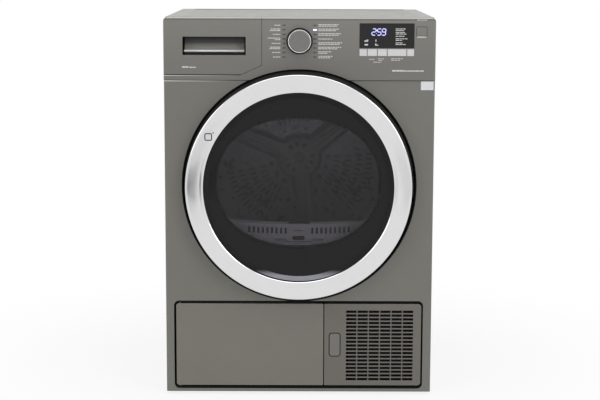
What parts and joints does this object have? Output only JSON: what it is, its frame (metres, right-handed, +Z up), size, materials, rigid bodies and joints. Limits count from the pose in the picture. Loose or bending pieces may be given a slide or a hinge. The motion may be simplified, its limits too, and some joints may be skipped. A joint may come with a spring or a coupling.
{
  "type": "clothes dryer",
  "caption": "Free-standing heat-pump clothes dryer: round glazed door, turning drum, drawer-type water tank, programme dial, display, keys and a hinged service flap.",
  "frame": {"origin": "on the floor, in the middle of the overall box", "axes": "+Z up, the door faces -Y, +X to the right of someone who faces the door"},
  "size_m": [0.595, 0.609, 0.846],
  "materials": {
    "panel_steel": "satin metallic grey",
    "top_board": "satin light grey",
    "panel_plastic": "satin metallic grey",
    "galvanised": "zinc coated",
    "black_plastic": "gloss black",
    "dark_plastic": "matt",
    "grey_plastic": "matt",
    "white_plastic": "translucent",
    "trim_chrome": "bright",
    "smoked_glass": "smoked",
    "clear_glass": "clear",
    "drum_steel": "satin",
    "spring_steel": "plain",
    "cast_alloy": "cast",
    "fins": "finned",
    "black_rubber": "matt",
    "felt": "felt",
    "circuit": "board",
    "knob_grey": "satin",
    "key_silver": "satin"
  },
  "bodies": {
    "cabinet": {"side_panel_left": "panel_steel", "side_panel_right": "panel_steel", "front_panel": "panel_steel", "top_panel": "top_board", "rear_panel": "galvanised", "rear_duct_cover": "galvanised", "base_tray": "dark_plastic", "tunnel_cover": "dark_plastic", "control_panel": "panel_plastic", "display_window": "black_plastic", "control_board": "circuit", "tank_channel": "dark_plastic", "vent_grille": "panel_plastic", "front_bulkhead": "dark_plastic", "drum_seals": "felt", "filter_housing": "grey_plastic", "lint_filter": "grey_plastic", "moisture_sensors": "spring_steel", "door_hinge": "spring_steel", "door_catch": "dark_plastic", "door_seal": "black_rubber", "drum_bearing": "cast_alloy", "drive_motor": "cast_alloy", "compressor": "black_plastic", "heat_exchangers": "fins", "exchanger_cover": "grey_plastic", "drain_pump": "grey_plastic", "drum_belt": "black_rubber", "idler_arm": "spring_steel", "cord_gland": "dark_plastic"},
    "door": {"door_ring": "trim_chrome", "door_glass": "smoked_glass", "door_frame": "black_plastic", "door_liner": "black_plastic", "door_bowl": "clear_glass", "door_hook": "spring_steel", "door_hinge_arm": "spring_steel"},
    "drum": {"drum_shell": "drum_steel", "drum_back": "drum_steel", "drum_lifters": "drum_steel"},
    "motor": {"motor_rotor": "spring_steel", "blower_wheel": "dark_plastic"},
    "idler": {"idler_pulley": "dark_plastic"},
    "roller_left": {"support_roller_left": "dark_plastic"},
    "roller_right": {"support_roller_right": "dark_plastic"},
    "knob": {"programme_knob": "knob_grey"},
    "key_1": {"option_key_1": "key_silver"},
    "key_2": {"option_key_2": "key_silver"},
    "key_3": {"option_key_3": "key_silver"},
    "key_4": {"option_key_4": "key_silver"},
    "key_5": {"option_key_5": "key_silver"},
    "start": {"start_key": "panel_plastic"},
    "tank": {"water_tank": "white_plastic", "tank_front": "panel_plastic"},
    "flap": {"service_flap": "panel_plastic"},
    "release_button": {"flap_button": "panel_plastic"},
    "foot_1": {"levelling_foot_1": "black_rubber"},
    "foot_2": {"levelling_foot_2": "black_rubber"},
    "foot_3": {"levelling_foot_3": "black_rubber"},
    "foot_4": {"levelling_foot_4": "black_rubber"}
  },
  "joints": [
    {"name": "door_hinge", "type": "hinge", "parent": "cabinet", "child": "door", "pos_m": [0.242, -0.2855, 0.476], "axis": [0, 0, 1], "range_deg": [0, 115]},
    {"name": "drum_spin", "type": "hinge", "parent": "cabinet", "child": "drum", "pos_m": [0, 0, 0.476], "axis": [0, 1, 0], "continuous": true},
    {"name": "motor_spin", "type": "hinge", "parent": "cabinet", "child": "motor", "pos_m": [0.12, 0.137, 0.115], "axis": [0, 1, 0], "continuous": true},
    {"name": "idler_spin", "type": "hinge", "parent": "cabinet", "child": "idler", "pos_m": [0.04, 0.0605, 0.13], "axis": [0, 1, 0], "continuous": true},
    {"name": "roller_left_spin", "type": "hinge", "parent": "cabinet", "child": "roller_left", "pos_m": [-0.18474, -0.1885, 0.22173], "axis": [0, 1, 0], "continuous": true},
    {"name": "roller_right_spin", "type": "hinge", "parent": "cabinet", "child": "roller_right", "pos_m": [0.18474, -0.1885, 0.22173], "axis": [0, 1, 0], "continuous": true},
    {"name": "knob_turn", "type": "hinge", "parent": "cabinet", "child": "knob", "pos_m": [0, -0.275, 0.795], "axis": [0, 1, 0], "continuous": true},
    {"name": "key_1_press", "type": "slide", "parent": "cabinet", "child": "key_1", "axis": [0, 1, 0], "range_m": [0, 0.0012], "stiffness_N_per_m": 900},
    {"name": "key_2_press", "type": "slide", "parent": "cabinet", "child": "key_2", "axis": [0, 1, 0], "range_m": [0, 0.0012], "stiffness_N_per_m": 900},
    {"name": "key_3_press", "type": "slide", "parent": "cabinet", "child": "key_3", "axis": [0, 1, 0], "range_m": [0, 0.0012], "stiffness_N_per_m": 900},
    {"name": "key_4_press", "type": "slide", "parent": "cabinet", "child": "key_4", "axis": [0, 1, 0], "range_m": [0, 0.0012], "stiffness_N_per_m": 900},
    {"name": "key_5_press", "type": "slide", "parent": "cabinet", "child": "key_5", "axis": [0, 1, 0], "range_m": [0, 0.0012], "stiffness_N_per_m": 900},
    {"name": "start_press", "type": "slide", "parent": "cabinet", "child": "start", "axis": [0, 1, 0], "range_m": [0, 0.0012], "stiffness_N_per_m": 900},
    {"name": "tank_slide", "type": "slide", "parent": "cabinet", "child": "tank", "axis": [0, -1, 0], "range_m": [0, 0.42]},
    {"name": "flap_hinge", "type": "hinge", "parent": "cabinet", "child": "flap", "pos_m": [-0.2664, -0.263, 0.1153], "axis": [0, 0, -1], "range_deg": [0, 95]},
    {"name": "release_press", "type": "slide", "parent": "cabinet", "child": "release_button", "axis": [0, 1, 0], "range_m": [0, 0.003], "stiffness_N_per_m": 700},
    {"name": "foot_1_adjust", "type": "slide", "parent": "cabinet", "child": "foot_1", "axis": [0, 0, -1], "range_m": [0, 0.012]},
    {"name": "foot_2_adjust", "type": "slide", "parent": "cabinet", "child": "foot_2", "axis": [0, 0, -1], "range_m": [0, 0.012]},
    {"name": "foot_3_adjust", "type": "slide", "parent": "cabinet", "child": "foot_3", "axis": [0, 0, -1], "range_m": [0, 0.012]},
    {"name": "foot_4_adjust", "type": "slide", "parent": "cabinet", "child": "foot_4", "axis": [0, 0, -1], "range_m": [0, 0.012]}
  ],
  "couplings": [
    {"joint": "motor_spin", "follows": "drum_spin", "ratio": 29.163},
    {"joint": "idler_spin", "follows": "drum_spin", "ratio": -13.11},
    {"joint": "roller_left_spin", "follows": "drum_spin", "ratio": -9.4667},
    {"joint": "roller_right_spin", "follows": "drum_spin", "ratio": -9.4667}
  ]
}
